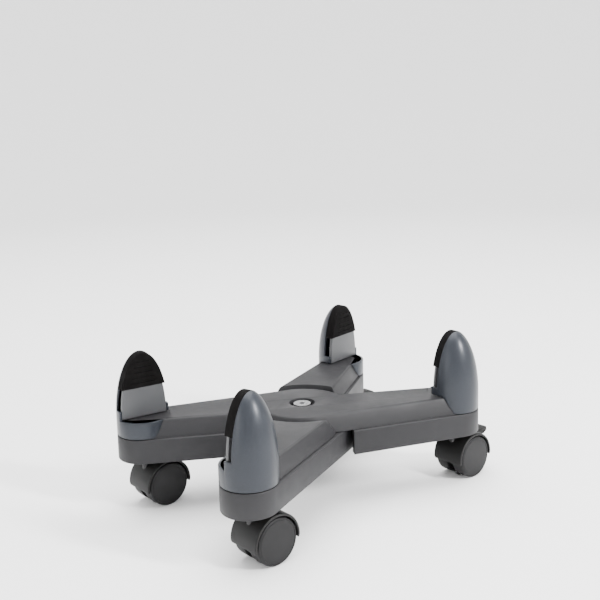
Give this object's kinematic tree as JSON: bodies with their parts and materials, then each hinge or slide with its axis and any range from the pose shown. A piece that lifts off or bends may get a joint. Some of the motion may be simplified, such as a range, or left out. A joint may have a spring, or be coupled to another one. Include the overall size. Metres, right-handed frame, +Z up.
{
  "type": "computer tower holder",
  "caption": "Rolling holder for a computer tower: crossed scissor beams, padded bullet-shaped corner posts and hooded twin-wheel casters.",
  "frame": {"origin": "on the floor, at the middle of the whole footprint; the pivot stands 12 mm in front of it", "axes": "+Z up, +Y to the rear of the held computer, +X to the viewer's right when looking along +Y; the front faces -Y"},
  "size_m": [0.254, 0.3944, 0.1827],
  "materials": {
    "shell": "satin blue-grey moulded plastic",
    "beam": "dark grey moulded plastic with a fine grain",
    "jaw": "grey moulded plastic",
    "grip": "matte black rubber",
    "steel": "zinc-plated steel",
    "nylon": "natural nylon",
    "caster": "black moulded nylon",
    "wheel": "dark grey moulded nylon"
  },
  "bodies": {
    "lower_frame": {"lower_beam": "beam", "slip_ring": "nylon", "pivot_bolt": "steel", "pivot_washers": "steel", "pivot_nut": "steel", "post_screws_lower_beam": "steel", "post_shell_front_right": "shell", "jaw_plate_front_right": "jaw", "rubber_grip_front_right": "grip", "stem_socket_front_right": "nylon", "post_shell_rear_left": "shell", "jaw_plate_rear_left": "jaw", "rubber_grip_rear_left": "grip", "stem_socket_rear_left": "nylon"},
    "upper_frame": {"upper_beam": "beam", "post_screws_upper_beam": "steel", "post_shell_rear_right": "shell", "jaw_plate_rear_right": "jaw", "rubber_grip_rear_right": "grip", "stem_socket_rear_right": "nylon", "post_shell_front_left": "shell", "jaw_plate_front_left": "jaw", "rubber_grip_front_left": "grip", "stem_socket_front_left": "nylon"},
    "caster_front_right": {"caster_stem_front_right": "steel", "caster_body_front_right": "caster", "axle_front_right": "steel"},
    "right_wheel_front_right": {"right_wheel_front_right": "wheel"},
    "left_wheel_front_right": {"left_wheel_front_right": "wheel"},
    "caster_rear_left": {"caster_stem_rear_left": "steel", "caster_body_rear_left": "caster", "axle_rear_left": "steel"},
    "right_wheel_rear_left": {"right_wheel_rear_left": "wheel"},
    "left_wheel_rear_left": {"left_wheel_rear_left": "wheel"},
    "caster_front_left": {"caster_stem_front_left": "steel", "caster_body_front_left": "caster", "axle_front_left": "steel"},
    "right_wheel_front_left": {"right_wheel_front_left": "wheel"},
    "left_wheel_front_left": {"left_wheel_front_left": "wheel"},
    "caster_rear_right": {"caster_stem_rear_right": "steel", "caster_body_rear_right": "caster", "axle_rear_right": "steel"},
    "right_wheel_rear_right": {"right_wheel_rear_right": "wheel"},
    "left_wheel_rear_right": {"left_wheel_rear_right": "wheel"},
    "brake_rear_left": {"brake_lever_rear_left": "caster"},
    "brake_rear_right": {"brake_lever_rear_right": "caster"}
  },
  "joints": [
    {"name": "scissor_pivot", "type": "hinge", "parent": "lower_frame", "child": "upper_frame", "pos_m": [0, -0.012, 0.088], "axis": [0, 0, 1], "range_deg": [-14, 8]},
    {"name": "swivel_front_right", "type": "hinge", "parent": "lower_frame", "child": "caster_front_right", "pos_m": [0.09698, -0.16719, 0.06], "axis": [0, 0, 1], "continuous": true},
    {"name": "right_wheel_spin_front_right", "type": "hinge", "parent": "caster_front_right", "child": "right_wheel_front_right", "pos_m": [0.09698, -0.14919, 0.025], "axis": [1, 0, 0], "continuous": true},
    {"name": "left_wheel_spin_front_right", "type": "hinge", "parent": "caster_front_right", "child": "left_wheel_front_right", "pos_m": [0.09698, -0.14919, 0.025], "axis": [1, 0, 0], "continuous": true},
    {"name": "swivel_rear_left", "type": "hinge", "parent": "lower_frame", "child": "caster_rear_left", "pos_m": [-0.09698, 0.14319, 0.06], "axis": [0, 0, 1], "continuous": true},
    {"name": "right_wheel_spin_rear_left", "type": "hinge", "parent": "caster_rear_left", "child": "right_wheel_rear_left", "pos_m": [-0.09698, 0.16119, 0.025], "axis": [1, 0, 0], "continuous": true},
    {"name": "left_wheel_spin_rear_left", "type": "hinge", "parent": "caster_rear_left", "child": "left_wheel_rear_left", "pos_m": [-0.09698, 0.16119, 0.025], "axis": [1, 0, 0], "continuous": true},
    {"name": "swivel_front_left", "type": "hinge", "parent": "upper_frame", "child": "caster_front_left", "pos_m": [-0.09698, -0.16719, 0.06], "axis": [0, 0, 1], "continuous": true},
    {"name": "right_wheel_spin_front_left", "type": "hinge", "parent": "caster_front_left", "child": "right_wheel_front_left", "pos_m": [-0.09698, -0.14919, 0.025], "axis": [1, 0, 0], "continuous": true},
    {"name": "left_wheel_spin_front_left", "type": "hinge", "parent": "caster_front_left", "child": "left_wheel_front_left", "pos_m": [-0.09698, -0.14919, 0.025], "axis": [1, 0, 0], "continuous": true},
    {"name": "swivel_rear_right", "type": "hinge", "parent": "upper_frame", "child": "caster_rear_right", "pos_m": [0.09698, 0.14319, 0.06], "axis": [0, 0, 1], "continuous": true},
    {"name": "right_wheel_spin_rear_right", "type": "hinge", "parent": "caster_rear_right", "child": "right_wheel_rear_right", "pos_m": [0.09698, 0.16119, 0.025], "axis": [1, 0, 0], "continuous": true},
    {"name": "left_wheel_spin_rear_right", "type": "hinge", "parent": "caster_rear_right", "child": "left_wheel_rear_right", "pos_m": [0.09698, 0.16119, 0.025], "axis": [1, 0, 0], "continuous": true},
    {"name": "brake_rear_left", "type": "hinge", "parent": "caster_rear_left", "child": "brake_rear_left", "pos_m": [-0.09698, 0.18119, 0.046], "axis": [1, 0, 0], "range_deg": [-14, 0]},
    {"name": "brake_rear_right", "type": "hinge", "parent": "caster_rear_right", "child": "brake_rear_right", "pos_m": [0.09698, 0.18119, 0.046], "axis": [1, 0, 0], "range_deg": [-14, 0]}
  ]
}
